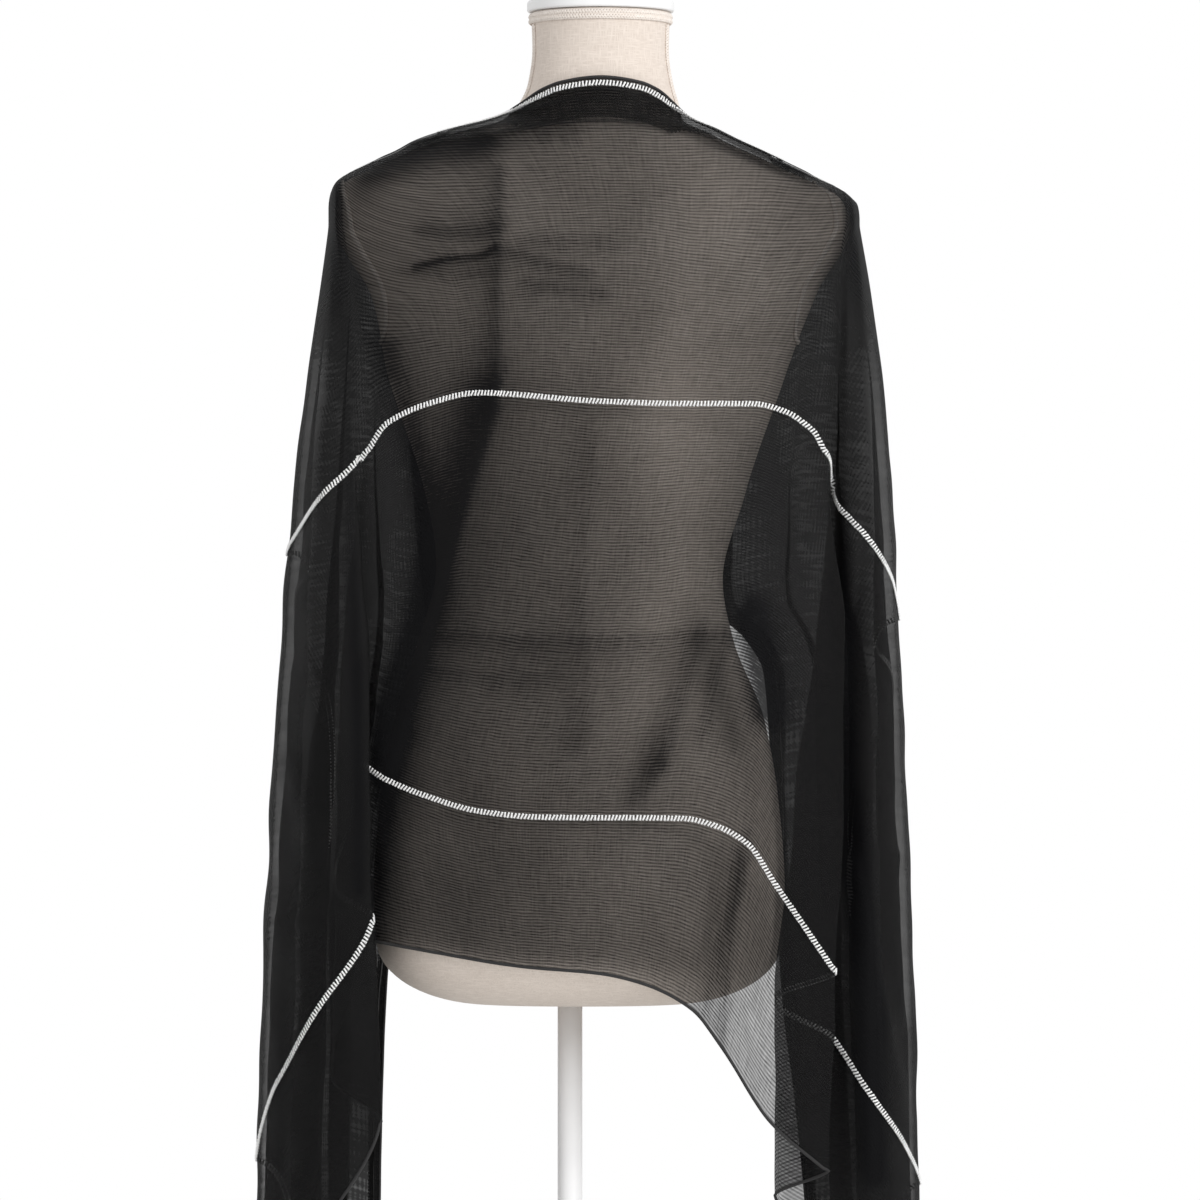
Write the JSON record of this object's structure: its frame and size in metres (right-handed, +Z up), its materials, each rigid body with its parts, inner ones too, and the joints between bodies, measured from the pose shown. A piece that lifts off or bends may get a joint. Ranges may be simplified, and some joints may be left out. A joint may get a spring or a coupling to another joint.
{
  "type": "crepe shawl draped on a limbless dress form with a stand",
  "caption": "Oblong sheer crepe shawl with narrow lace trims, draped over the shoulders of a limbless dress form that stands on a pole and a round base.",
  "frame": {"origin": "on the floor at the middle of the round base, on the pole's axis", "axes": "+Z up; the form faces +Y, so its back, where the shawl hangs flat, faces -Y; +X to the right of someone who looks at the back"},
  "size_m": [0.5676, 0.38, 1.5523],
  "materials": {
    "black_crepe": "sheer crinkled crepe, matte",
    "silver_lace": "silver and white thread, slightly shiny",
    "linen": "plain woven linen, matte",
    "white_cap": "smooth, satin",
    "white_paint": "smooth white paint, satin"
  },
  "bodies": {
    "root": {"shawl_back": "black_crepe", "shawl_left_end": "black_crepe", "shawl_right_end": "black_crepe", "neck_trim": "silver_lace", "left_front_trim": "silver_lace", "right_front_trim": "silver_lace", "upper_trim": "silver_lace", "upper_trim_left": "silver_lace", "upper_trim_right": "silver_lace", "lower_trim": "silver_lace", "lower_trim_left": "silver_lace", "lower_trim_right": "silver_lace", "form_torso": "linen", "neck_braid": "linen", "neck_cap": "white_cap", "pole": "white_paint", "base": "white_paint"}
  },
  "joints": []
}
